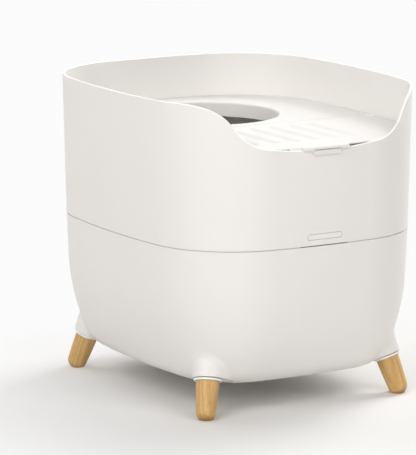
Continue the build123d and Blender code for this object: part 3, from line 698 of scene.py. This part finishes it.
def addSeenRays(tree):
    # 1 for what the camera sees, straight, in a gloss or through a piece, and 0 for light on the object
    path = tree.nodes.new("ShaderNodeLightPath")
    mirrored = addMath(tree, "ADD", clamp=True)
    seen = addMath(tree, "ADD", clamp=True)
    link = tree.links.new
    link(path.outputs["Is Glossy Ray"], mirrored.inputs[0])
    link(path.outputs["Is Transmission Ray"], mirrored.inputs[1])
    link(path.outputs["Is Camera Ray"], seen.inputs[0])
    link(mirrored.outputs["Value"], seen.inputs[1])
    return seen


def paleFloor(look):
    half = look["half"]
    mesh = bpy.data.meshes.new("floor")
    corners = [(-half, -half, 0), (half, -half, 0), (half, half, 0), (-half, half, 0)]
    mesh.from_pydata(corners, [], [(0, 1, 2, 3)])
    floor = bpy.data.objects.new("floor", mesh)
    scene.collection.objects.link(floor)
    finish, tree, shader = newFinish("floorPaper")
    shader.inputs["Base Color"].default_value = look["colour"]
    shader.inputs["Roughness"].default_value = look["roughness"]
    shader.inputs["Specular IOR Level"].default_value = look["shine"]
    place = tree.nodes.new("ShaderNodeTexCoord")
    reach = tree.nodes.new("ShaderNodeVectorMath")
    reach.operation = "DISTANCE"
    reach.inputs[1].default_value = look["fadeCentre"]
    fade = addRange(tree, look["fadeFrom"], look["fadeTo"], 0, 1)
    fade.interpolation_type = "SMOOTHSTEP"
    seen = addSeenRays(tree)
    share = addMath(tree, "MULTIPLY")
    white = addNode(tree, "ShaderNodeEmission", Color=(1, 1, 1, 1), Strength=look["white"])
    both = tree.nodes.new("ShaderNodeMixShader")
    link = tree.links.new
    link(place.outputs["Object"], reach.inputs[0])
    link(reach.outputs["Value"], fade.inputs["Value"])
    link(fade.outputs["Result"], share.inputs[0])
    link(seen.outputs["Value"], share.inputs[1])
    link(share.outputs["Value"], both.inputs["Fac"])
    link(shader.outputs["BSDF"], both.inputs[1])
    link(white.outputs["Emission"], both.inputs[2])
    link(both.outputs["Shader"], tree.nodes["Material Output"].inputs["Surface"])
    mesh.materials.append(finish)


def whiteSky(look):
    world = bpy.data.worlds.new("sky")
    scene.world = world
    world.use_nodes = True
    tree = world.node_tree
    light = tree.nodes["Background"]
    light.inputs["Color"].default_value = look["colour"]
    light.inputs["Strength"].default_value = look["strength"]
    plain = addNode(tree, "ShaderNodeBackground", Color=(1, 1, 1, 1), Strength=look["white"])
    seen = addSeenRays(tree)
    both = tree.nodes.new("ShaderNodeMixShader")
    link = tree.links.new
    link(seen.outputs["Value"], both.inputs["Fac"])
    link(light.outputs["Background"], both.inputs[1])
    link(plain.outputs["Background"], both.inputs[2])
    link(both.outputs["Shader"], tree.nodes["World Output"].inputs["Surface"])


# bearing round the object (0 in front, 90 to its right), height angle, side and power of each lamp
softboxes = {
    "key": {"bearing": 106, "height": 34, "size": 1.8, "power": 56},
    "highKey": {"bearing": 112, "height": 52, "size": 1.2, "power": 22},
    "leftFill": {"bearing": -62, "height": 30, "size": 2.0, "power": 54},
    "frontFill": {"bearing": 8, "height": 34, "size": 2.0, "power": 34},
    "backTop": {"bearing": 150, "height": 62, "size": 1.4, "power": 8},
    "backLeft": {"bearing": -150, "height": 45, "size": 2.0, "power": 25},
}
boxReach = {"aim": Vector((0, 0, 0.2)), "distance": 3.2}


def outward(bearing, height):
    turn, rise = math.radians(bearing), math.radians(height)
    return Vector((math.sin(turn) * math.cos(rise), -math.cos(turn) * math.cos(rise), math.sin(rise)))


def hangSoftbox(name, box):
    lamp = bpy.data.lights.new(name, "AREA")
    lamp.shape = "SQUARE"
    lamp.size = box["size"]
    lamp.energy = box["power"]
    way = outward(box["bearing"], box["height"])
    holder = bpy.data.objects.new(name, lamp)
    holder.location = boxReach["aim"] + way * boxReach["distance"]
    holder.rotation_euler = way.to_track_quat("Z", "Y").to_euler()
    scene.collection.objects.link(holder)


# camera, solved from the photograph's outline
shot = {"azimuth": -30.45, "elevation": 10.85, "distance": 4.8594, "aim": (-0.0335, 0.0201, 0.2235),
        "lens": 267.45, "sensor": 36}


def aimCamera(look):
    back = outward(look["azimuth"], look["elevation"])
    lens = bpy.data.cameras.new("camera")
    lens.lens = look["lens"]
    lens.sensor_width = look["sensor"]
    holder = bpy.data.objects.new("camera", lens)
    holder.location = Vector(look["aim"]) + back * look["distance"]
    holder.rotation_euler = back.to_track_quat("Z", "Y").to_euler()
    scene.collection.objects.link(holder)
    scene.camera = holder


paleFloor(floorLook)
whiteSky(skyLook)
for name, box in softboxes.items():
    hangSoftbox(name, box)
aimCamera(shot)
scene.view_settings.view_transform = "Standard"
print("stage set")
